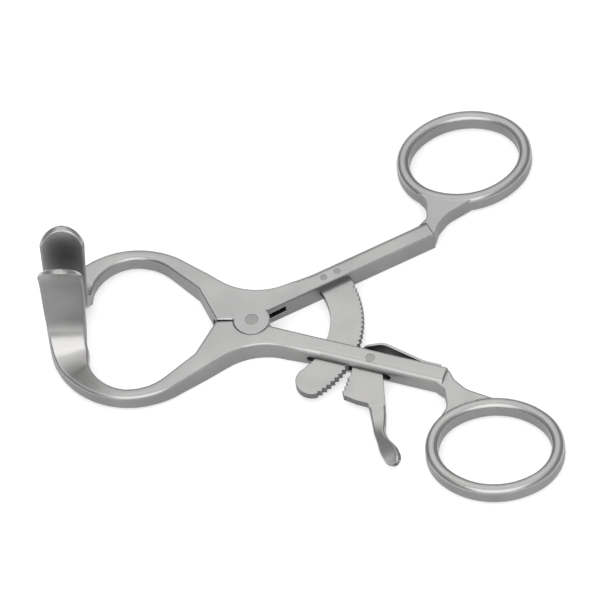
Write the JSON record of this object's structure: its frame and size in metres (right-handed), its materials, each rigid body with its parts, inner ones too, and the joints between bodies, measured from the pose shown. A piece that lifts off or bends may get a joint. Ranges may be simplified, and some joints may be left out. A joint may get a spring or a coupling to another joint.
{
  "type": "mouth gag",
  "caption": "Ratchet mouth gag: two forged arms with finger rings and upright blades on a box joint, a toothed sector and a sprung release pawl.",
  "frame": {"origin": "on the pivot axis, at the underside of the box joint", "axes": "+X along the bisector of the handles towards the finger rings; +Z out of the plane of the handles, the way the blades rise"},
  "size_m": [0.1256, 0.1218, 0.0375],
  "materials": {
    "forged_steel": "satin, bead-blasted",
    "plate_steel": "satin",
    "spring_steel": "bright satin",
    "pin_steel": "ground flush"
  },
  "bodies": {
    "lower": {"lower_arm": "forged_steel", "pivot_pin": "pin_steel", "pawl_pin": "pin_steel", "pawl_spring": "spring_steel", "spring_screw": "pin_steel"},
    "upper": {"upper_arm": "forged_steel", "ratchet_sector": "plate_steel", "sector_rivet_front": "pin_steel", "sector_rivet_rear": "pin_steel"},
    "release": {"pawl": "plate_steel"}
  },
  "joints": [
    {"name": "arm_hinge", "type": "hinge", "parent": "lower", "child": "upper", "pos_m": [0, 0, 0.003], "axis": [0, 0, -1], "range_deg": [-3, 36]},
    {"name": "pawl_hinge", "type": "hinge", "parent": "lower", "child": "release", "pos_m": [0.0286, -0.01575, 0.003], "axis": [0, 0, -1], "range_deg": [0, 22]}
  ]
}
